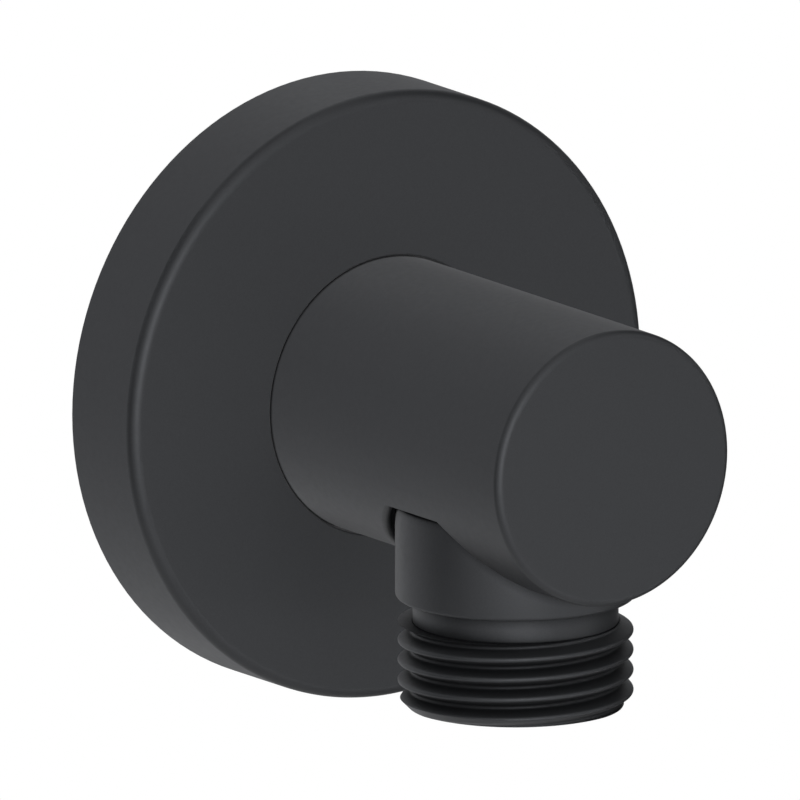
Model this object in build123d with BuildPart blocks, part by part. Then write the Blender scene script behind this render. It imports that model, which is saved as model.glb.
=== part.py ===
from build123d import *
import os

# Round shower hose outlet for a wall: a bar body with a slip-on rosette, a hose nipple in a
# pocket of its underside, a wall nipple in its back and a check valve in the hose nipple.
# The wall is the plane y = 0, the body leaves it along -Y and the hose outlet points along -Z.
# All sizes are in millimetres.

# Body, a round bar as thick and as long as the outlet's pocket needs
body_edge_radius = 0.7
body_rear_gap = 1.0

# Rosette, a turned cup over the hole in the wall
rosette_diameter = 55.0
rosette_depth = 9.5
rosette_edge_radius = 1.0
rosette_face_thickness = 2.0
rosette_rim_thickness = 3.5
rosette_gap = 0.15
rosette_hole_edge = 0.13
hub_thickness = 3.5
hub_length = 5.0

# Socket in the body's back for the wall nipple
socket_diameter = 17.0
socket_depth = 15.5
socket_lead_in = 0.8

# Pipe thread on both nipples, drawn at its outer diameter
pipe_thread_diameter = 20.955
thread_chamfer = 0.9

# Wall nipple
wall_thread_reach = 13.0
wall_bore = 9.0
wall_key = 10.0
wall_key_depth = 6.0
spigot_tip_chamfer = 0.8
spigot_first_seal = 3.2
spigot_seal_spacing = 3.8

# Grub screw that holds the body on the wall nipple, hidden under the rosette
grub_from_wall = 4.4
grub_diameter = 5.0
grub_recess = 0.2
grub_groove_depth = 1.2
grub_tip_radius = 0.6
grub_key = 2.5
grub_key_depth = 2.0

# Outlet: pocket in the body's underside and the hose nipple screwed up into it
outlet_reach = 29.5
pocket_ceiling = 5.5
pocket_cheek = 1.45
pocket_front_wall = 4.45
pocket_edge_share = 0.35
pocket_gap = 0.35
collar_length = 8.9
collar_edge = 0.35
collar_ledge = 0.7
inner_thread_length = 3.0
seal_ledge = 0.6
seal_length = 3.5
nipple_wall = 1.2
neck_depth = 1.33
neck_length = 2.3
hose_thread_length = 7.6
hose_key = 10.0
hose_key_depth = 5.4

# Waterway from the socket to the chamber over the hose nipple
waterway_diameter = 7.2
waterway_step = 0.2
chamber_drop = 0.4

# Check valve cartridge in the hose nipple
cartridge_bore = 14.0
cartridge_length = 14.5
housing_wall = 1.2
inlet_diameter = 7.6
inlet_length = 4.2
seat_width = 1.4
guide_thickness = 1.5
guide_ring_width = 1.0
guide_hub_diameter = 5.0
guide_spokes = 3
guide_spoke_width = 1.2
poppet_head_diameter = 9.4
poppet_head_thickness = 1.3
poppet_nose_height = 1.6
poppet_seal_cord = 1.1
stem_diameter = 2.4
stem_overhang = 0.4
spring_wire = 0.5
spring_diameter = 4.0
spring_turns = 4.5
wire_sides = 6

# Seals in their grooves, as squeezed there
seal_sides = 8
grip_cord = 1.8
spigot_cord = 1.5
outlet_cord = 1.2
cartridge_cord = 1.0
groove_side_room = 0.3
wall_seal_width = 1.4
wall_seal_height = 1.5

# Clearances
slip_play = 0.05
thread_play = 0.05
seal_touch = 0.02
end_room = 0.2
stem_play = 0.1
seat_touch = 0.05

# Radii about the outlet's axis, from the check valve out to the bar
seal_bore_radius = cartridge_bore / 2 + nipple_wall + outlet_cord
inner_thread_radius = seal_bore_radius + seal_ledge
collar_radius = inner_thread_radius + collar_ledge
pocket_radius = collar_radius + pocket_gap
body_radius = pocket_radius + pocket_cheek
body_diameter = 2 * body_radius
body_reach = outlet_reach + pocket_radius + pocket_front_wall
pocket_edge_radius = pocket_edge_share * pocket_cheek

# Places worked out from the sizes above
wall_axis = Axis.Y
wall_section = Plane.XY
outlet_axis = Axis((0, -outlet_reach, 0), (0, 0, 1))
outlet_section = Plane.XZ.offset(outlet_reach)
socket_floor = body_rear_gap + socket_depth
ceiling_z = -pocket_ceiling
inner_thread_top = ceiling_z + inner_thread_length
seal_bore_top = inner_thread_top + seal_length
waterway_rise = seal_bore_top + waterway_step + waterway_diameter / 2
chamber_top = waterway_rise + waterway_diameter / 2 - chamber_drop
collar_bottom = ceiling_z - collar_length
hose_thread_top = collar_bottom - neck_length
outlet_end = hose_thread_top - hose_thread_length
cartridge_seat = outlet_end + hose_key_depth
pipe_radius = pipe_thread_diameter / 2


def seal_ring(section, axis, radius, place, cord):
    """A seal ring with a many-sided round section, centred at a radius and a place along its axis."""
    with BuildPart() as ring:
        with BuildSketch(section):
            with Locations((radius, place)):
                RegularPolygon(cord / 2, seal_sides, major_radius=False, rotation=180 / seal_sides)
        revolve(axis=axis)
    return ring.part


def write(piece, name):
    """Label a finished piece and write it to its own file."""
    piece.label = name
    export_step(piece, f"parts/{name}.step")


os.makedirs("parts", exist_ok=True)

# Elbow body: a bar with a rounded front edge
with BuildPart() as elbow_body:
    with BuildSketch(Plane.XZ.offset(body_rear_gap)):
        Circle(body_radius)
    extrude(amount=body_reach - body_rear_gap)
    fillet(elbow_body.faces().sort_by(Axis.Y)[0].edges(), body_edge_radius)
    # Pocket with a rounded mouth, cut up to the axis and filled again above its flat ceiling
    with BuildSketch(Plane.XY):
        with Locations((0, -outlet_reach)):
            Circle(pocket_radius)
    extrude(amount=-body_diameter, mode=Mode.SUBTRACT)
    mouth = elbow_body.edges().filter_by(GeomType.BSPLINE).sort_by(SortBy.LENGTH)[-1]
    fillet(mouth, pocket_edge_radius)
    with BuildSketch(Plane.XZ.offset(outlet_reach - pocket_radius - pocket_cheek)):
        Circle(body_radius)
        with Locations((0, ceiling_z / 2)):
            Rectangle(body_diameter, pocket_ceiling, mode=Mode.INTERSECT)
    extrude(amount=2 * (pocket_radius + pocket_cheek))
    # Socket for the wall nipple, waterway, stepped bore for the hose nipple and grub screw hole
    with BuildSketch(Plane.XZ.offset(body_rear_gap)):
        Circle(socket_diameter / 2)
    extrude(amount=socket_depth, mode=Mode.SUBTRACT)
    chamfer(elbow_body.faces().sort_by(Axis.Y)[-1].edges().sort_by(SortBy.RADIUS)[0], socket_lead_in)
    with BuildSketch(Plane.XZ.offset(socket_floor)):
        with Locations((0, waterway_rise)):
            Circle(waterway_diameter / 2)
    extrude(amount=outlet_reach - socket_floor, mode=Mode.SUBTRACT)
    with BuildSketch(outlet_section):
        with BuildLine():
            Polyline(
                (0, ceiling_z),
                (inner_thread_radius, ceiling_z),
                (inner_thread_radius, inner_thread_top),
                (seal_bore_radius, inner_thread_top),
                (seal_bore_radius, seal_bore_top),
                (cartridge_bore / 2, seal_bore_top),
                (cartridge_bore / 2, chamber_top),
                (0, chamber_top),
                close=True,
            )
        make_face()
    revolve(axis=outlet_axis, mode=Mode.SUBTRACT)
    with BuildSketch(Plane.XY):
        with Locations((0, -grub_from_wall)):
            Circle(grub_diameter / 2 + thread_play)
    extrude(amount=-body_diameter, mode=Mode.SUBTRACT)
write(elbow_body.part, "elbow_body")

# Rosette with a hub for its grip ring and a groove for the wall seal
rosette_radius = rosette_diameter / 2
hole_radius = body_radius + rosette_gap
face_back = -rosette_depth + rosette_face_thickness
hub_end = face_back + hub_length
grip_place = face_back + hub_length / 2
wall_seal_radius = rosette_radius - rosette_rim_thickness / 2
with BuildPart() as rosette:
    with BuildSketch(wall_section):
        with BuildLine():
            Polyline(
                (hole_radius, -rosette_depth + rosette_hole_edge),
                (hole_radius + rosette_hole_edge, -rosette_depth),
                (rosette_radius, -rosette_depth),
                (rosette_radius, 0),
                (rosette_radius - rosette_rim_thickness, 0),
                (rosette_radius - rosette_rim_thickness, face_back),
                (hole_radius + hub_thickness, face_back),
                (hole_radius + hub_thickness, hub_end),
                (hole_radius, hub_end),
                close=True,
            )
        make_face()
        with Locations((wall_seal_radius, 0)):
            Rectangle(wall_seal_width, 2 * wall_seal_height, mode=Mode.SUBTRACT)
        with Locations((body_radius, grip_place)):
            Rectangle(2 * grip_cord, grip_cord + groove_side_room, mode=Mode.SUBTRACT)
    revolve(axis=wall_axis)
    fillet(rosette.faces().sort_by(Axis.Y)[0].edges().sort_by(SortBy.RADIUS)[-1], rosette_edge_radius)
write(rosette.part, "rosette")

grip_ring = seal_ring(
    wall_section, wall_axis, body_radius + grip_cord / 2, grip_place, grip_cord - 2 * seal_touch
)
write(grip_ring, "rosette_grip_ring")

# Wall seal, a flat ring in the rosette's back
with BuildPart() as wall_seal:
    with BuildSketch(wall_section):
        with Locations((wall_seal_radius, -wall_seal_height / 2)):
            Rectangle(wall_seal_width - 2 * seal_touch, wall_seal_height)
    revolve(axis=wall_axis)
write(wall_seal.part, "wall_seal")

# Wall nipple: pipe thread into the wall, spigot with two seals into the body
spigot_radius = socket_diameter / 2 - slip_play
spigot_tip = -socket_floor + end_room
spigot_seals = [spigot_tip + spigot_first_seal + i * spigot_seal_spacing for i in range(2)]
with BuildPart() as wall_nipple:
    with BuildSketch(wall_section):
        with BuildLine():
            Polyline(
                (wall_bore / 2, wall_thread_reach),
                (pipe_radius - thread_chamfer, wall_thread_reach),
                (pipe_radius, wall_thread_reach - thread_chamfer),
                (pipe_radius, -body_rear_gap),
                (spigot_radius, -body_rear_gap),
                (spigot_radius, spigot_tip + spigot_tip_chamfer),
                (spigot_radius - spigot_tip_chamfer, spigot_tip),
                (wall_bore / 2, spigot_tip),
                close=True,
            )
        make_face()
        for place in spigot_seals:
            with Locations((socket_diameter / 2, place)):
                Rectangle(2 * spigot_cord, spigot_cord + groove_side_room, mode=Mode.SUBTRACT)
        with Locations((spigot_radius, -grub_from_wall)):
            RegularPolygon(grub_groove_depth, 4, mode=Mode.SUBTRACT)
    revolve(axis=wall_axis)
    with BuildSketch(Plane.XZ.offset(-spigot_tip)):
        RegularPolygon(wall_key / 2, 6, major_radius=False)
    extrude(amount=-wall_key_depth, mode=Mode.SUBTRACT)
write(wall_nipple.part, "wall_nipple")

for place, name in zip(spigot_seals, ["front", "rear"]):
    spigot_ring = seal_ring(
        wall_section,
        wall_axis,
        socket_diameter / 2 - spigot_cord / 2,
        place,
        spigot_cord - 2 * seal_touch,
    )
    write(spigot_ring, f"spigot_seal_{name}")

# Grub screw with a cone point in the spigot's groove and a hex socket below
grub_axis = Axis((0, -grub_from_wall, 0), (0, 0, 1))
grub_radius = grub_diameter / 2
grub_tip = -(spigot_radius - grub_groove_depth) - grub_tip_radius - seal_touch
grub_shoulder = grub_tip - (grub_radius - grub_tip_radius)
grub_end = -body_radius + grub_recess
with BuildPart() as grub_screw:
    with BuildSketch(Plane.XZ.offset(grub_from_wall)):
        with BuildLine():
            Polyline(
                (0, grub_tip),
                (grub_tip_radius, grub_tip),
                (grub_radius, grub_shoulder),
                (grub_radius, grub_end),
                (0, grub_end),
                close=True,
            )
        make_face()
    revolve(axis=grub_axis)
    with BuildSketch(Plane.XY.offset(grub_end)):
        with Locations((0, -grub_from_wall)):
            RegularPolygon(grub_key / 2, 6, major_radius=False)
    extrude(amount=grub_key_depth, mode=Mode.SUBTRACT)
write(grub_screw.part, "grub_screw")

# Hose nipple: screwed up into the body, collar against the pocket's ceiling, hose thread below
nipple_top = seal_bore_top - end_room
land_radius = seal_bore_radius - slip_play
outlet_seal_place = (inner_thread_top + nipple_top) / 2
with BuildPart() as outlet_nipple:
    with BuildSketch(outlet_section):
        with BuildLine():
            Polyline(
                (0, outlet_end),
                (0, cartridge_seat),
                (cartridge_bore / 2, cartridge_seat),
                (cartridge_bore / 2, nipple_top),
                (land_radius, nipple_top),
                (land_radius, inner_thread_top),
                (inner_thread_radius - thread_play, inner_thread_top),
                (inner_thread_radius - thread_play, ceiling_z),
                (collar_radius - collar_edge, ceiling_z),
                (collar_radius, ceiling_z - collar_edge),
                (collar_radius, collar_bottom + collar_edge),
                (collar_radius - collar_edge, collar_bottom),
                (pipe_radius - neck_depth, collar_bottom),
                (pipe_radius - neck_depth, hose_thread_top),
                (pipe_radius, hose_thread_top),
                (pipe_radius, outlet_end + thread_chamfer),
                (pipe_radius - thread_chamfer, outlet_end),
                close=True,
            )
        make_face()
        with Locations((seal_bore_radius, outlet_seal_place)):
            Rectangle(2 * outlet_cord, outlet_cord + groove_side_room, mode=Mode.SUBTRACT)
    revolve(axis=outlet_axis)
    with BuildSketch(Plane.XY.offset(outlet_end)):
        with Locations((0, -outlet_reach)):
            RegularPolygon(hose_key / 2, 6, major_radius=False)
    extrude(amount=hose_key_depth, mode=Mode.SUBTRACT)
write(outlet_nipple.part, "outlet_nipple")

outlet_seal = seal_ring(
    outlet_section,
    outlet_axis,
    seal_bore_radius - outlet_cord / 2,
    outlet_seal_place,
    outlet_cord - 2 * seal_touch,
)
write(outlet_seal, "outlet_seal")

# Valve housing: inlet bore, conical seat and valve chamber, standing on the nipple's inner ledge
cartridge_radius = cartridge_bore / 2 - slip_play
cartridge_top = cartridge_seat + cartridge_length
inlet_radius = inlet_diameter / 2
seat_top = cartridge_top - inlet_length
seat_bottom = seat_top - seat_width
chamber_radius = cartridge_bore / 2 - housing_wall
cartridge_seal_place = cartridge_top - inlet_length / 2
with BuildPart() as valve_housing:
    with BuildSketch(outlet_section):
        with BuildLine():
            Polyline(
                (inlet_radius, cartridge_top),
                (cartridge_radius, cartridge_top),
                (cartridge_radius, cartridge_seat),
                (chamber_radius, cartridge_seat),
                (chamber_radius, seat_bottom),
                (inlet_radius + seat_width, seat_bottom),
                (inlet_radius, seat_top),
                close=True,
            )
        make_face()
        with Locations((cartridge_bore / 2, cartridge_seal_place)):
            Rectangle(2 * cartridge_cord, cartridge_cord + groove_side_room, mode=Mode.SUBTRACT)
    revolve(axis=outlet_axis)
write(valve_housing.part, "valve_housing")

cartridge_seal = seal_ring(
    outlet_section,
    outlet_axis,
    cartridge_bore / 2 - cartridge_cord / 2,
    cartridge_seal_place,
    cartridge_cord - 2 * seal_touch,
)
write(cartridge_seal, "cartridge_seal")

# Poppet seal, just under the conical seat
poppet_seal_radius = inlet_radius
poppet_seal_place = seat_top - (poppet_seal_cord / 2 + seat_touch) * 2**0.5
poppet_seal = seal_ring(
    outlet_section, outlet_axis, poppet_seal_radius, poppet_seal_place, poppet_seal_cord
)
write(poppet_seal, "poppet_seal")

# Poppet: nose in the inlet, head that carries the seal, stem through the guide
nose_radius = poppet_seal_radius - poppet_seal_cord / 2 - seal_touch
head_top = poppet_seal_place - poppet_seal_cord / 2 - seal_touch
head_bottom = head_top - poppet_head_thickness
guide_top = cartridge_seat + guide_thickness
stem_end = cartridge_seat - stem_overhang
with BuildPart() as valve_poppet:
    with BuildSketch(outlet_section):
        with BuildLine():
            Polyline(
                (0, stem_end),
                (stem_diameter / 2, stem_end),
                (stem_diameter / 2, head_bottom),
                (poppet_head_diameter / 2, head_bottom),
                (poppet_head_diameter / 2, head_top),
                (nose_radius, head_top),
                (nose_radius, poppet_seal_place),
                (0, poppet_seal_place + poppet_nose_height),
                close=True,
            )
        make_face()
    revolve(axis=outlet_axis)
write(valve_poppet.part, "valve_poppet")

# Guide: a ring and a hub with spokes at the chamber's lower end
with BuildPart() as valve_guide:
    with BuildSketch(Plane.XY.offset(cartridge_seat)):
        with Locations((0, -outlet_reach)):
            Circle(chamber_radius - slip_play)
            Circle(chamber_radius - slip_play - guide_ring_width, mode=Mode.SUBTRACT)
            Circle(guide_hub_diameter / 2)
            with PolarLocations(0, guide_spokes):
                with Locations((chamber_radius / 2, 0)):
                    Rectangle(chamber_radius - guide_ring_width, guide_spoke_width)
            Circle(stem_diameter / 2 + stem_play, mode=Mode.SUBTRACT)
    extrude(amount=guide_thickness)
write(valve_guide.part, "valve_guide")

# Spring between the guide's hub and the poppet's head
spring_bottom = guide_top + spring_wire / 2 + seal_touch
spring_height = head_bottom - guide_top - spring_wire - 2 * seal_touch
with BuildPart() as valve_spring:
    with BuildLine() as coil:
        Helix(
            spring_height / spring_turns,
            spring_height,
            spring_diameter / 2,
            center=(0, -outlet_reach, spring_bottom),
        )
    with BuildSketch(Plane(coil.line @ 0, z_dir=coil.line % 0)):
        RegularPolygon(spring_wire / 2, wire_sides)
    sweep(path=coil.line, is_frenet=True)
write(valve_spring.part, "valve_spring")
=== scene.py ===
import math

import bmesh
import bpy
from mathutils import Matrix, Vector

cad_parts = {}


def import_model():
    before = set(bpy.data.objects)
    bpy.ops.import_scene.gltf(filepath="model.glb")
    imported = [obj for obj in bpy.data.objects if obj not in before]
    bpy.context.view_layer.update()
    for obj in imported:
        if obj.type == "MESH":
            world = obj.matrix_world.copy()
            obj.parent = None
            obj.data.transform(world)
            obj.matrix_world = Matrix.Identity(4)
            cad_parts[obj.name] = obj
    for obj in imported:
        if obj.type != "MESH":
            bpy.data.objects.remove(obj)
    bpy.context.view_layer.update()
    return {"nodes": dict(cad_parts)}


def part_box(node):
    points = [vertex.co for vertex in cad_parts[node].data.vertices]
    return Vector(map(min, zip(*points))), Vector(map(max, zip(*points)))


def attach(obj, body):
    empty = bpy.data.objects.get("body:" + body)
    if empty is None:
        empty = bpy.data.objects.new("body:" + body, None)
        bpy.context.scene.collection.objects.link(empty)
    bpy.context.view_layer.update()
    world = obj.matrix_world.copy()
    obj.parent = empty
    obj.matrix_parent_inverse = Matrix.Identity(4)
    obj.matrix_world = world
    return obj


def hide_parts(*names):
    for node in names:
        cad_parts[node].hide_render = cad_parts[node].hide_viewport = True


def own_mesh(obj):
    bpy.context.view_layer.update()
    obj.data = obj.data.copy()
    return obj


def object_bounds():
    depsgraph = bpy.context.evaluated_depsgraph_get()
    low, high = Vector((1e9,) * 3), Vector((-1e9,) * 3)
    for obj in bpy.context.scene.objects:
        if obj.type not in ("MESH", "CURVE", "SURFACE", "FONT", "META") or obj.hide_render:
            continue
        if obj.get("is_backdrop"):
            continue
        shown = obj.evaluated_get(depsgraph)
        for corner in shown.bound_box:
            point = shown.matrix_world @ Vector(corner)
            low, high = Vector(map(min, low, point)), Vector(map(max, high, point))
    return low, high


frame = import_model()
nodes = frame["nodes"]

MM = 0.001

# Camera, a parallel view fitted to the outlines in the photograph
VIEW_AZIMUTH = math.radians(-34.33)
VIEW_ELEVATION = math.radians(13.03)
VIEW_WIDTH = 70.985 * MM
VIEW_CENTRE = Vector((4.99, -4.01, -2.15)) * MM
VIEW_DISTANCE = 0.5
VIEW_CLIP = 0.01, 10

# Pipe thread G 1/2: rounded 55 degree section, right-handed
PITCH = 1.814 * MM
THREAD_RADIUS = 10.4775 * MM
THREAD_HALF_ANGLE = math.radians(27.5)
THREAD_DEPTH_SHARE = 0.640327
THREAD_ROUND_SHARE = 0.137329
THREAD_CHAMFER = 0.9 * MM
ARC_STEPS = 4
FLANK_STEPS = 5
SEGMENTS = 144

# Hose nipple, about the outlet's axis
SEAL_LAND = 9.35 * MM
SEAL_GROOVE_DEPTH = 1.15 * MM
SEAL_GROOVE_WIDTH = 1.5 * MM
SEAL_LAND_LENGTH = 3.3 * MM
INNER_THREAD_RADIUS = 9.95 * MM
INNER_THREAD_LENGTH = 3.0 * MM
COLLAR_LENGTH = 8.9 * MM
COLLAR_ROUND = 0.35 * MM
COLLAR_GAP = 0.2 * MM
COLLAR_TOP_ROUND = 0.6 * MM
NECK_RADIUS = 9.1475 * MM
NECK_LENGTH = 2.3 * MM
KEY_HALF = 5.0 * MM
HOSE_KEY_DEPTH = 5.4 * MM
CARTRIDGE_RADIUS = 7.0 * MM
HOSE_THREAD_PHASE = 0.154

# Wall nipple, about the body's axis
SPIGOT_RADIUS = 8.45 * MM
SPIGOT_CHAMFER = 0.8 * MM
SPIGOT_SEAL_PLACES = (3.2 * MM, 7.0 * MM)
SPIGOT_GROOVE_DEPTH = 1.45 * MM
SPIGOT_GROOVE_WIDTH = 1.8 * MM
GRUB_GROOVE_PLACE = -4.4 * MM
GRUB_GROOVE_DEPTH = 1.2 * MM
FLANGE_BACK = -1.0 * MM
FLANGE_LENGTH = 1.6 * MM
WALL_BORE_RADIUS = 4.5 * MM
WALL_KEY_DEPTH = 6.0 * MM
WALL_THREAD_PHASE = 0.2

# Seals
SEALS = (
    "rosette_grip_ring",
    "wall_seal",
    "spigot_seal_front",
    "spigot_seal_rear",
    "outlet_seal",
    "cartridge_seal",
    "poppet_seal",
)

# Valve spring
SPRING_RADIUS = 2.0 * MM
SPRING_WIRE_RADIUS = 0.25 * MM
SPRING_TURNS = 4.5
SPRING_STEPS_PER_TURN = 40
WIRE_SIDES = 12

# Black coat: its gloss, its cold tone, and the spans where the painted shade in its crevices changes its
# reach
COAT_GLOSS = 0.51
COAT_TINT = (0.911, 0.941, 1.0, 1.0)
PAINTED_SHADE_SAMPLES = 8
BEFORE_ROSETTE = -16 * MM, -12 * MM
UPPER_COLLAR = -11 * MM, -8 * MM

# Noise values at which a material has its dark and its light tone
DARK_AT = 0.3
LIGHT_AT = 0.7

# Meshes
ROUND_STEPS = 4
MERGE_DISTANCE = 0.002 * MM
SMOOTH_ANGLE = math.radians(32)

# Studio
FLOOR_RADIUS = 0.22
FLOOR_SEGMENTS = 96
FLOOR_DROP = 0.07
STUDIO_CENTRE = Vector((0, -20, 0)) * MM
PAPER_WHITE = (0.965, 0.974, 1.0, 1.0)


class Turning:
    """A mesh of rings about an axis, made from rows of (radius, height) pairs that follow one another."""

    def __init__(self, origin, across, along):
        self.origin = Vector(origin)
        self.along = Vector(along)
        self.across = Vector(across)
        self.side = self.along.cross(self.across)
        self.bm = bmesh.new()
        self.rows = []
        self.first = None

    def point(self, angle, radius, height):
        out = self.across * math.cos(angle) + self.side * math.sin(angle)
        return self.origin + out * radius + self.along * height

    def row(self, radius, height):
        """Vertices all round the axis; radius and height are numbers or functions of the angle."""
        made = []
        for i in range(SEGMENTS):
            angle = math.tau * i / SEGMENTS
            r = radius(angle) if callable(radius) else radius
            h = height(angle) if callable(height) else height
            made.append(self.bm.verts.new(self.point(angle, r, h)))
        return made

    def skin(self, rows, shift=0):
        """Faces over the rows. In a helical skin the last column meets the first one shift rows on."""
        last = len(rows) - 1
        for j in range(last):
            for i in range(SEGMENTS):
                k = (i + 1) % SEGMENTS
                step = 0 if k else shift
                here = rows[j][i], rows[j + 1][i]
                there = rows[min(j + step, last)][k], rows[min(j + 1 + step, last)][k]
                corners = dict.fromkeys((here[0], there[0], there[1], here[1]))
                if len(corners) > 2:
                    self.bm.faces.new(corners)

    def outline(self, stations):
        """Rings at the stations, joined to what was made before."""
        for radius, height in stations:
            made = self.row(radius, height)
            if self.rows:
                self.skin([self.rows[-1], made])
            else:
                self.first = made
            self.rows.append(made)

    def thread(self, low, high, phase, low_chamfer, high_chamfer, downwards):
        """A right-hand pipe thread between two heights, cut back by a chamfer at either end."""
        section = thread_section()
        turns = math.ceil((high - low) / PITCH) + 3
        start = low - PITCH * (1 + phase)
        made = []
        for turn in range(turns):
            for share, _ in section[:-1]:
                lift = start + PITCH * (turn + share)

                def height(angle, lift=lift):
                    return min(max(lift + PITCH * angle / math.tau, low), high)

                def radius(angle, height=height):
                    h = height(angle)
                    r = section_radius(section, (h - start) / PITCH - angle / math.tau)
                    limit = THREAD_RADIUS - max(low_chamfer - (h - low), high_chamfer - (high - h), 0)
                    return min(r, limit)

                made.append(self.row(radius, height))
        self.skin(made, shift=len(section) - 1)
        if downwards:
            made.reverse()
        if self.rows:
            self.skin([self.rows[-1], made[0]])
        else:
            self.first = made[0]
        self.rows.append(made[-1])

    def close(self, name):
        """The finished object, its last ring joined to its first."""
        self.skin([self.rows[-1], self.first])
        bmesh.ops.remove_doubles(self.bm, verts=self.bm.verts, dist=MERGE_DISTANCE)
        bmesh.ops.dissolve_degenerate(self.bm, edges=self.bm.edges, dist=MERGE_DISTANCE)
        bmesh.ops.recalc_face_normals(self.bm, faces=self.bm.faces)
        return finished(self.bm, name)


def finished(bm, name):
    """An object from a bmesh, smooth except at its sharp edges."""
    mesh = bpy.data.meshes.new(name)
    bm.to_mesh(mesh)
    bm.free()
    mesh.shade_smooth()
    mesh.set_sharp_from_angle(angle=SMOOTH_ANGLE)
    obj = bpy.data.objects.new(name, mesh)
    bpy.context.scene.collection.objects.link(obj)
    return obj


def thread_section():
    """One pitch of the thread from crest to crest, as (share of the pitch, radius) pairs."""
    round_radius = THREAD_ROUND_SHARE * PITCH
    root_radius = THREAD_RADIUS - THREAD_DEPTH_SHARE * PITCH
    span = math.pi / 2 - THREAD_HALF_ANGLE
    half = []
    for i in range(ARC_STEPS + 1):
        turn = span * i / ARC_STEPS
        drop = round_radius * (1 - math.cos(turn))
        half.append((round_radius * math.sin(turn), THREAD_RADIUS - drop))
    foot = PITCH / 2 - half[-1][0], root_radius + THREAD_RADIUS - half[-1][1]
    head = half[-1]
    for i in range(1, FLANK_STEPS):
        t = i / FLANK_STEPS
        half.append((head[0] + (foot[0] - head[0]) * t, head[1] + (foot[1] - head[1]) * t))
    for i in range(ARC_STEPS, -1, -1):
        turn = span * i / ARC_STEPS
        rise = round_radius * (1 - math.cos(turn))
        half.append((PITCH / 2 - round_radius * math.sin(turn), root_radius + rise))
    other = [(PITCH - s, r) for s, r in reversed(half[:-1])]
    return [(s / PITCH, r) for s, r in half + other]


def section_radius(section, share):
    """The thread's radius at a share of the pitch."""
    share %= 1
    for (a, ra), (b, rb) in zip(section, section[1:]):
        if share <= b:
            return ra + (rb - ra) * (share - a) / (b - a)
    return section[-1][1]


def hexagon(half_width):
    """The radius of a hexagonal hole at an angle, with a corner at angle 0."""
    sixth = math.tau / 6
    return lambda angle: half_width / math.cos(angle % sixth - sixth / 2)


def rounded(corner, start, end, radius):
    """Stations round an outer corner between two directions in the (radius, height) plane."""
    (r, h), (ar, ah), (br, bh) = corner, start, end
    centre = r + (ar + br) * radius, h + (ah + bh) * radius
    stations = []
    for i in range(ROUND_STEPS + 1):
        turn = math.pi / 2 * i / ROUND_STEPS
        stations.append((
            centre[0] - br * radius * math.cos(turn) - ar * radius * math.sin(turn),
            centre[1] - bh * radius * math.cos(turn) - ah * radius * math.sin(turn),
        ))
    return stations


def groove(radius, depth, centre, width, direction):
    """Stations of a square groove, met in the direction given."""
    near, far = centre - direction * width / 2, centre + direction * width / 2
    return [(radius, near), (radius - depth, near), (radius - depth, far), (radius, far)]


def hose_nipple():
    """The outlet's nipple with its thread, its collar just clear of the pocket's ceiling."""
    low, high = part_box("outlet_nipple")
    seal_low, seal_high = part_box("outlet_seal")
    collar = (high.x - low.x) / 2
    top, end = high.z, low.z
    seal_place = (seal_low.z + seal_high.z) / 2
    thread_top_inner = top - SEAL_LAND_LENGTH
    ceiling = thread_top_inner - INNER_THREAD_LENGTH
    collar_top = ceiling - COLLAR_GAP
    collar_bottom = ceiling - COLLAR_LENGTH
    thread_top = collar_bottom - NECK_LENGTH
    seat = end + HOSE_KEY_DEPTH
    turning = Turning(origin=(0, (low.y + high.y) / 2, 0), across=(1, 0, 0), along=(0, 0, 1))
    turning.outline([(CARTRIDGE_RADIUS, top), (SEAL_LAND, top)])
    turning.outline(groove(SEAL_LAND, SEAL_GROOVE_DEPTH, seal_place, SEAL_GROOVE_WIDTH, direction=-1))
    turning.outline([
        (SEAL_LAND, thread_top_inner),
        (INNER_THREAD_RADIUS, thread_top_inner),
        (INNER_THREAD_RADIUS, collar_top),
    ])
    turning.outline(rounded((collar, collar_top), (-1, 0), (0, -1), COLLAR_TOP_ROUND))
    turning.outline(rounded((collar, collar_bottom), (0, 1), (-1, 0), COLLAR_ROUND))
    turning.outline([(NECK_RADIUS, collar_bottom), (NECK_RADIUS, thread_top)])
    turning.thread(
        low=end,
        high=thread_top,
        phase=HOSE_THREAD_PHASE,
        low_chamfer=THREAD_CHAMFER,
        high_chamfer=0,
        downwards=True,
    )
    turning.outline([
        (hexagon(KEY_HALF), end),
        (hexagon(KEY_HALF), seat),
        (CARTRIDGE_RADIUS, seat),
    ])
    nipple = turning.close("hose_nipple")
    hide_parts("outlet_nipple")
    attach(nipple, "body")
    return nipple


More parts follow.
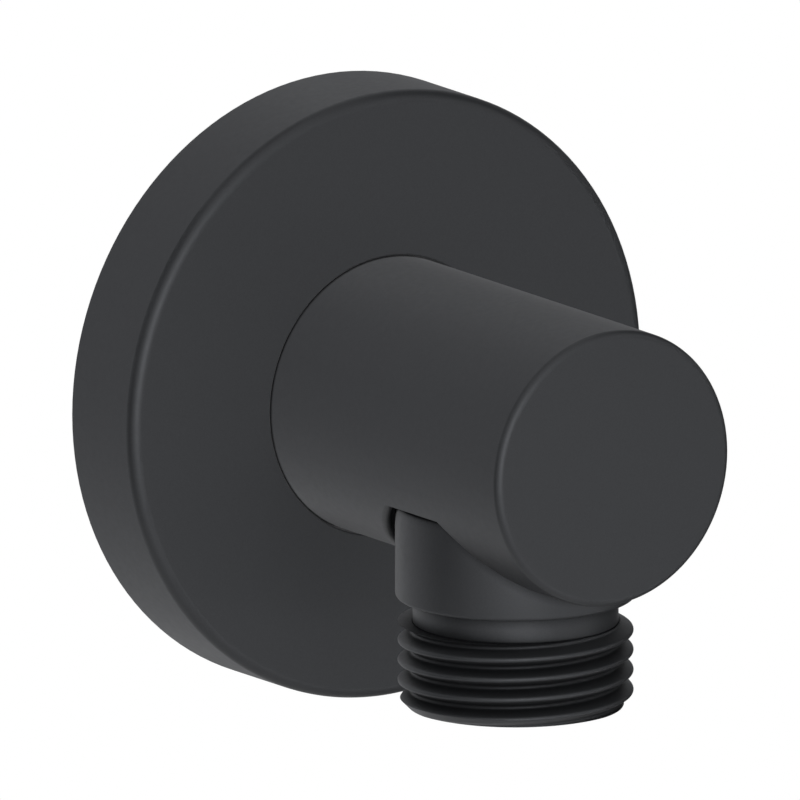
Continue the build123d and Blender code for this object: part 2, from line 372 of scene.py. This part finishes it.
def wall_nipple():
    """The wall's nipple with its thread, flange and spigot."""
    low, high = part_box("wall_nipple")
    tip, end = low.y, high.y
    thread_start = FLANGE_BACK + FLANGE_LENGTH
    turning = Turning(origin=(0, 0, 0), across=(0, 0, 1), along=(0, 1, 0))
    turning.outline([
        (hexagon(KEY_HALF), tip + WALL_KEY_DEPTH),
        (hexagon(KEY_HALF), tip),
        (SPIGOT_RADIUS - SPIGOT_CHAMFER, tip),
        (SPIGOT_RADIUS, tip + SPIGOT_CHAMFER),
    ])
    for place in SPIGOT_SEAL_PLACES:
        turning.outline(
            groove(SPIGOT_RADIUS, SPIGOT_GROOVE_DEPTH, tip + place, SPIGOT_GROOVE_WIDTH, direction=1)
        )
    turning.outline([
        (SPIGOT_RADIUS, GRUB_GROOVE_PLACE - GRUB_GROOVE_DEPTH),
        (SPIGOT_RADIUS - GRUB_GROOVE_DEPTH, GRUB_GROOVE_PLACE),
        (SPIGOT_RADIUS, GRUB_GROOVE_PLACE + GRUB_GROOVE_DEPTH),
        (SPIGOT_RADIUS, FLANGE_BACK),
        (THREAD_RADIUS, FLANGE_BACK),
        (THREAD_RADIUS, thread_start),
    ])
    turning.thread(
        low=thread_start,
        high=end,
        phase=WALL_THREAD_PHASE,
        low_chamfer=0,
        high_chamfer=THREAD_CHAMFER,
        downwards=False,
    )
    turning.outline([(WALL_BORE_RADIUS, end), (WALL_BORE_RADIUS, tip + WALL_KEY_DEPTH)])
    nipple = turning.close("wall_nipple_threaded")
    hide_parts("wall_nipple")
    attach(nipple, "body")
    return nipple


def valve_spring():
    """A coil of round wire that shortens as the valve opens."""
    low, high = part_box("valve_spring")
    centre_y = (low.y + high.y) / 2
    bottom, top = low.z + SPRING_WIRE_RADIUS, high.z - SPRING_WIRE_RADIUS
    count = round(SPRING_TURNS * SPRING_STEPS_PER_TURN)
    lead = (top - bottom) / (math.tau * SPRING_TURNS * SPRING_RADIUS)
    bm = bmesh.new()
    rings = []
    for i in range(count + 1):
        angle = math.tau * SPRING_TURNS * i / count
        out = Vector((math.cos(angle), math.sin(angle), 0))
        forward = Vector((-math.sin(angle), math.cos(angle), lead)).normalized()
        up = forward.cross(out)
        centre = Vector((0, centre_y, bottom + (top - bottom) * i / count)) + out * SPRING_RADIUS
        ring = []
        for k in range(WIRE_SIDES):
            turn = math.tau * k / WIRE_SIDES
            offset = out * math.cos(turn) + up * math.sin(turn)
            ring.append(bm.verts.new(centre + offset * SPRING_WIRE_RADIUS))
        rings.append(ring)
    for here, there in zip(rings, rings[1:]):
        for k in range(WIRE_SIDES):
            beside = (k + 1) % WIRE_SIDES
            bm.faces.new((here[k], here[beside], there[beside], there[k]))
    bm.faces.new(rings[0])
    bm.faces.new(rings[-1])
    bmesh.ops.recalc_face_normals(bm, faces=bm.faces)
    spring = finished(bm, "valve_spring_coil")
    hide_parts("valve_spring")
    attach(spring, "body")
    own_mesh(spring)
    return spring


class Material:
    """A node material with its shader and the object's own coordinates ready."""

    def __init__(self, name, roughness, metallic=0.0):
        self.material = bpy.data.materials.new(name)
        self.material.use_nodes = True
        self.tree = self.material.node_tree
        self.shader = self.tree.nodes["Principled BSDF"]
        self.shader.inputs["Roughness"].default_value = roughness
        self.shader.inputs["Metallic"].default_value = metallic
        self.coordinates = self.tree.nodes.new("ShaderNodeTexCoord").outputs["Object"]

    def noise(self, size, detail=2.0, stretch=(1, 1, 1)):
        """Noise whose grains are about as large as size, in metres."""
        mapping = self.tree.nodes.new("ShaderNodeMapping")
        mapping.inputs["Scale"].default_value = stretch
        self.tree.links.new(self.coordinates, mapping.inputs["Vector"])
        noise = self.tree.nodes.new("ShaderNodeTexNoise")
        noise.inputs["Scale"].default_value = 1 / size
        noise.inputs["Detail"].default_value = detail
        self.tree.links.new(mapping.outputs["Vector"], noise.inputs["Vector"])
        return noise.outputs["Fac"]

    def colour(self, factor, dark, light, painted_shade_reach=None):
        """Base colour between two tones, with painted shade that makes it deeper in holes narrower than the
        given reach.
        """
        ramp = self.tree.nodes.new("ShaderNodeValToRGB")
        first, last = ramp.color_ramp.elements
        first.position, first.color = DARK_AT, (*dark, 1)
        last.position, last.color = LIGHT_AT, (*light, 1)
        self.tree.links.new(factor, ramp.inputs["Fac"])
        tone = ramp.outputs["Color"]
        if painted_shade_reach:
            # Painted shade: the occlusion darkens the base colour in holes.
            shade = self.painted_occlusion(painted_shade_reach)
            self.tree.links.new(tone, shade.inputs["Color"])
            tone = shade.outputs["Color"]
        self.tree.links.new(tone, self.shader.inputs["Base Color"])

    def roughness(self, factor, low, high):
        """Roughness between two values."""
        spread = self.tree.nodes.new("ShaderNodeMapRange")
        spread.inputs["To Min"].default_value = low
        spread.inputs["To Max"].default_value = high
        self.tree.links.new(factor, spread.inputs["Value"])
        self.tree.links.new(spread.outputs["Result"], self.shader.inputs["Roughness"])

    def bump(self, factor, depth, strength):
        """Relief as deep as depth, in metres."""
        bump = self.tree.nodes.new("ShaderNodeBump")
        bump.inputs["Distance"].default_value = depth
        bump.inputs["Strength"].default_value = strength
        self.tree.links.new(factor, bump.inputs["Height"])
        self.tree.links.new(bump.outputs["Normal"], self.shader.inputs["Normal"])

    def along(self, axis, start, end, low, high):
        """A value along an axis: low up to the start, high from the end on, and a slope between them."""
        split = self.tree.nodes.new("ShaderNodeSeparateXYZ")
        self.tree.links.new(self.coordinates, split.inputs["Vector"])
        spread = self.tree.nodes.new("ShaderNodeMapRange")
        spread.inputs["From Min"].default_value = start
        spread.inputs["From Max"].default_value = end
        spread.inputs["To Min"].default_value = low
        spread.inputs["To Max"].default_value = high
        self.tree.links.new(split.outputs[axis], spread.inputs["Value"])
        return spread.outputs["Result"]

    def painted_occlusion(self, reach):
        """A node for painted shade, which darkens gaps and corners narrower than the reach, a length or a
        node's value.
        """
        shade = self.tree.nodes.new("ShaderNodeAmbientOcclusion")
        shade.samples = PAINTED_SHADE_SAMPLES
        if isinstance(reach, float):
            shade.inputs["Distance"].default_value = reach
        else:
            self.tree.links.new(reach, shade.inputs["Distance"])
        return shade

    def painted_crevice_shade(self, wide, narrow, dark):
        """Painted shade: less reflection in gaps and corners of two widths, and none where only the dark
        share is open.
        """
        # Painted shade: the occlusion of both reaches lowers the specular level in crevices.
        both = self.tree.nodes.new("ShaderNodeMath")
        both.operation = "MULTIPLY"
        self.tree.links.new(self.painted_occlusion(wide).outputs["AO"], both.inputs[0])
        self.tree.links.new(self.painted_occlusion(narrow).outputs["AO"], both.inputs[1])
        spread = self.tree.nodes.new("ShaderNodeMapRange")
        spread.inputs["From Min"].default_value = dark
        spread.inputs["To Max"].default_value = COAT_GLOSS
        self.tree.links.new(both.outputs[0], spread.inputs["Value"])
        self.tree.links.new(spread.outputs["Result"], self.shader.inputs["Specular IOR Level"])

    def one_sided(self):
        """Clear where it is seen from behind."""
        geometry = self.tree.nodes.new("ShaderNodeNewGeometry")
        spread = self.tree.nodes.new("ShaderNodeMapRange")
        spread.inputs["To Min"].default_value = 1
        spread.inputs["To Max"].default_value = 0
        self.tree.links.new(geometry.outputs["Backfacing"], spread.inputs["Value"])
        self.tree.links.new(spread.outputs["Result"], self.shader.inputs["Alpha"])

    def give(self, *objects):
        for obj in objects:
            obj.data.materials.clear()
            obj.data.materials.append(self.material)


def powder_coat(name):
    """Matt black coat with a fine grain, cold where it mirrors light."""
    coat = Material(name, roughness=0.5)
    grain = coat.noise(size=0.16 * MM, detail=3)
    coat.colour(grain, dark=(0.005, 0.0052, 0.0057), light=(0.009, 0.0094, 0.0102))
    coat.roughness(coat.noise(size=0.6 * MM), low=0.46, high=0.54)
    coat.bump(grain, depth=0.02 * MM, strength=0.15)
    coat.shader.inputs["Specular IOR Level"].default_value = COAT_GLOSS
    coat.shader.inputs["Specular Tint"].default_value = COAT_TINT
    return coat


def rosette_coat():
    coat = powder_coat("matt_black_rosette")
    # Painted shade in the rosette's narrow gaps and corners.
    coat.painted_crevice_shade(wide=0.2 * MM, narrow=0.1 * MM, dark=0.3)
    return coat


def body_coat():
    """Painted shade: dark in the pocket, with only a thin line of painted shade at the rosette."""
    coat = powder_coat("matt_black_body")
    coat.painted_crevice_shade(
        wide=coat.along("Y", *BEFORE_ROSETTE, low=0.8 * MM, high=0.23 * MM),
        narrow=coat.along("Y", *BEFORE_ROSETTE, low=0.4 * MM, high=0.05 * MM),
        dark=0.42,
    )
    return coat


def nipple_coat():
    """Painted shade: dark between the thread's turns and in the gap over the collar."""
    coat = powder_coat("matt_black_nipple")
    coat.painted_crevice_shade(
        wide=1.2 * MM,
        narrow=coat.along("Z", *UPPER_COLLAR, low=0.12 * MM, high=0.6 * MM),
        dark=0.34,
    )
    return coat


def turned_brass():
    brass = Material("turned_brass", roughness=0.3, metallic=1.0)
    marks = brass.noise(size=0.4 * MM, detail=4, stretch=(1, 6, 1))
    # Painted shade: the brass colour goes darker inside the bore, up to 8 mm from open space.
    brass.colour(marks, dark=(0.50, 0.34, 0.13), light=(0.68, 0.50, 0.24), painted_shade_reach=8 * MM)
    brass.roughness(marks, low=0.24, high=0.40)
    brass.bump(marks, depth=0.01 * MM, strength=0.2)
    return brass


def seal_rubber():
    rubber = Material("seal_rubber", roughness=0.6)
    grain = rubber.noise(size=0.3 * MM)
    rubber.colour(grain, dark=(0.012, 0.012, 0.013), light=(0.022, 0.022, 0.024))
    rubber.roughness(grain, low=0.5, high=0.68)
    rubber.bump(grain, depth=0.01 * MM, strength=0.2)
    return rubber


def valve_plastic():
    plastic = Material("valve_plastic", roughness=0.4)
    grain = plastic.noise(size=0.5 * MM)
    plastic.colour(grain, dark=(0.66, 0.67, 0.64), light=(0.74, 0.75, 0.72))
    plastic.roughness(grain, low=0.34, high=0.48)
    plastic.bump(grain, depth=0.01 * MM, strength=0.15)
    return plastic


def drawn_steel():
    steel = Material("drawn_steel", roughness=0.3, metallic=1.0)
    marks = steel.noise(size=0.25 * MM, detail=3)
    steel.colour(marks, dark=(0.48, 0.48, 0.49), light=(0.62, 0.62, 0.63))
    steel.roughness(marks, low=0.24, high=0.38)
    steel.bump(marks, depth=0.005 * MM, strength=0.2)
    return steel


def floor():
    """A pale table top below the outlet, outside the photograph's view."""
    low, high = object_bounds()
    bm = bmesh.new()
    bmesh.ops.create_circle(bm, cap_ends=True, radius=FLOOR_RADIUS, segments=FLOOR_SEGMENTS)
    table = finished(bm, "floor")
    table.location = (0, (low.y + high.y) / 2, low.z - FLOOR_DROP)
    pale = Material("pale_floor", roughness=0.8)
    pale.colour(pale.noise(size=20 * MM), dark=(0.78, 0.78, 0.78), light=(0.80, 0.80, 0.80))
    pale.one_sided()
    pale.give(table)
    table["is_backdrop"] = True


def around(azimuth, elevation, distance):
    """A place about the part; azimuth 0 is to its right, 90 behind it and 270 before it, in degrees."""
    a, e = math.radians(azimuth), math.radians(elevation)
    out = Vector((math.cos(a) * math.cos(e), math.sin(a) * math.cos(e), math.sin(e)))
    return STUDIO_CENTRE + out * distance


def card(name, place, size, tone):
    """A square card beside the part, which only reflections meet."""
    bm = bmesh.new()
    bmesh.ops.create_grid(bm, size=size / 2)
    panel = finished(bm, name)
    panel.location = place
    panel.rotation_euler = (STUDIO_CENTRE - place).to_track_quat("Z", "Y").to_euler()
    panel.visible_camera = False
    panel.visible_diffuse = False
    panel.visible_shadow = False
    paper = Material(name + "_paper", roughness=0.9)
    paper.colour(paper.noise(size=20 * MM), dark=(0, 0, 0), light=(0.01, 0.01, 0.01))
    paper.shader.inputs["Emission Color"].default_value = PAPER_WHITE
    paper.shader.inputs["Emission Strength"].default_value = tone
    paper.give(panel)
    panel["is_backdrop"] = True


def world(ambient):
    """Plain soft light all round, white where the camera or a reflection sees it."""
    sky = bpy.data.worlds.new("studio")
    bpy.context.scene.world = sky
    sky.use_nodes = True
    tree = sky.node_tree
    background = tree.nodes["Background"]
    path = tree.nodes.new("ShaderNodeLightPath")
    seen = tree.nodes.new("ShaderNodeMath")
    seen.operation = "MAXIMUM"
    tree.links.new(path.outputs["Is Camera Ray"], seen.inputs[0])
    tree.links.new(path.outputs["Is Glossy Ray"], seen.inputs[1])
    through = tree.nodes.new("ShaderNodeMath")
    through.operation = "MAXIMUM"
    tree.links.new(seen.outputs[0], through.inputs[0])
    tree.links.new(path.outputs["Is Transmission Ray"], through.inputs[1])
    level = tree.nodes.new("ShaderNodeMapRange")
    level.inputs["To Min"].default_value = ambient
    level.inputs["To Max"].default_value = 1.0
    tree.links.new(through.outputs[0], level.inputs["Value"])
    tree.links.new(level.outputs["Result"], background.inputs["Strength"])
    background.inputs["Color"].default_value = (1, 1, 1, 1)


def lamp(name, place, size, power, gloss):
    """A soft square lamp aimed at the part, for gloss without shadows or for plain light with shadows."""
    light = bpy.data.lights.new(name, "AREA")
    light.size = size
    light.energy = power
    light.use_shadow = not gloss
    light.cycles.use_multiple_importance_sampling = not gloss
    obj = bpy.data.objects.new(name, light)
    obj.visible_glossy = gloss
    obj.location = place
    obj.rotation_euler = (STUDIO_CENTRE - place).to_track_quat("-Z", "Y").to_euler()
    bpy.context.scene.collection.objects.link(obj)


def camera():
    data = bpy.data.cameras.new("camera")
    data.type = "ORTHO"
    data.ortho_scale = VIEW_WIDTH
    data.clip_start, data.clip_end = VIEW_CLIP
    obj = bpy.data.objects.new("camera", data)
    back = Vector((
        math.sin(VIEW_AZIMUTH) * math.cos(VIEW_ELEVATION),
        -math.cos(VIEW_AZIMUTH) * math.cos(VIEW_ELEVATION),
        math.sin(VIEW_ELEVATION),
    ))
    obj.location = VIEW_CENTRE + back * VIEW_DISTANCE
    obj.rotation_euler = (math.pi / 2 - VIEW_ELEVATION, 0, VIEW_AZIMUTH)
    bpy.context.scene.collection.objects.link(obj)
    bpy.context.scene.camera = obj


# Pieces and their finishes
wall_thread = wall_nipple()
spring = valve_spring()
# The three black coats are one finish, and their copies differ only in the painted shade of their crevices.
rosette_coat().give(nodes["rosette"])
body_coat().give(nodes["elbow_body"])
nipple_coat().give(hose_nipple())
turned_brass().give(wall_thread)
seal_rubber().give(*(nodes[name] for name in SEALS))
valve_plastic().give(nodes["valve_housing"], nodes["valve_guide"], nodes["valve_poppet"])
drawn_steel().give(nodes["grub_screw"], spring)

# Reflections show the studio and the hose nipple, and no other piece, as in the photograph
for piece in (*nodes.values(), wall_thread, spring):
    piece.visible_glossy = False

# Floor, cards that the coat mirrors, and lamps
floor()
card("backdrop", around(90, 0, 0.08), size=0.7, tone=0.8)
card("back_flag", around(52, 12, 0.075), size=0.08, tone=0.44)
card("edge_flag", around(60, -22, 0.07), size=0.05, tone=0.03)
card("shade_flag", around(93, 33, 0.075), size=0.06, tone=0.7)
card("left_flag", around(168, -8, 0.16), size=0.12, tone=0.06)
card("upper_flag", around(163, 36, 0.16), size=0.09, tone=0.06)
card("top_flag", around(112, 70, 0.16), size=0.09, tone=0.06)
card("low_flag", around(0, -48, 0.1), size=0.1, tone=0.06)
card("far_flag", around(350, -13, 0.16), size=0.12, tone=0.06)
card("right_flag", around(304, -13, 0.6), size=0.6, tone=0.03)
card("side_flag", around(25, -2, 0.16), size=0.12, tone=0.06)
card("high_flag", around(0, 42, 0.16), size=0.16, tone=0.06)
world(ambient=0.5)
lamp("front_light", around(244, 5, 0.4), size=0.25, power=0.75, gloss=True)
lamp("right_light", around(304, -13, 0.6), size=0.6, power=0.91, gloss=True)
lamp("floor_light", around(270, 75, 0.6), size=0.4, power=2, gloss=False)
camera()
bpy.context.scene.view_settings.view_transform = "Standard"
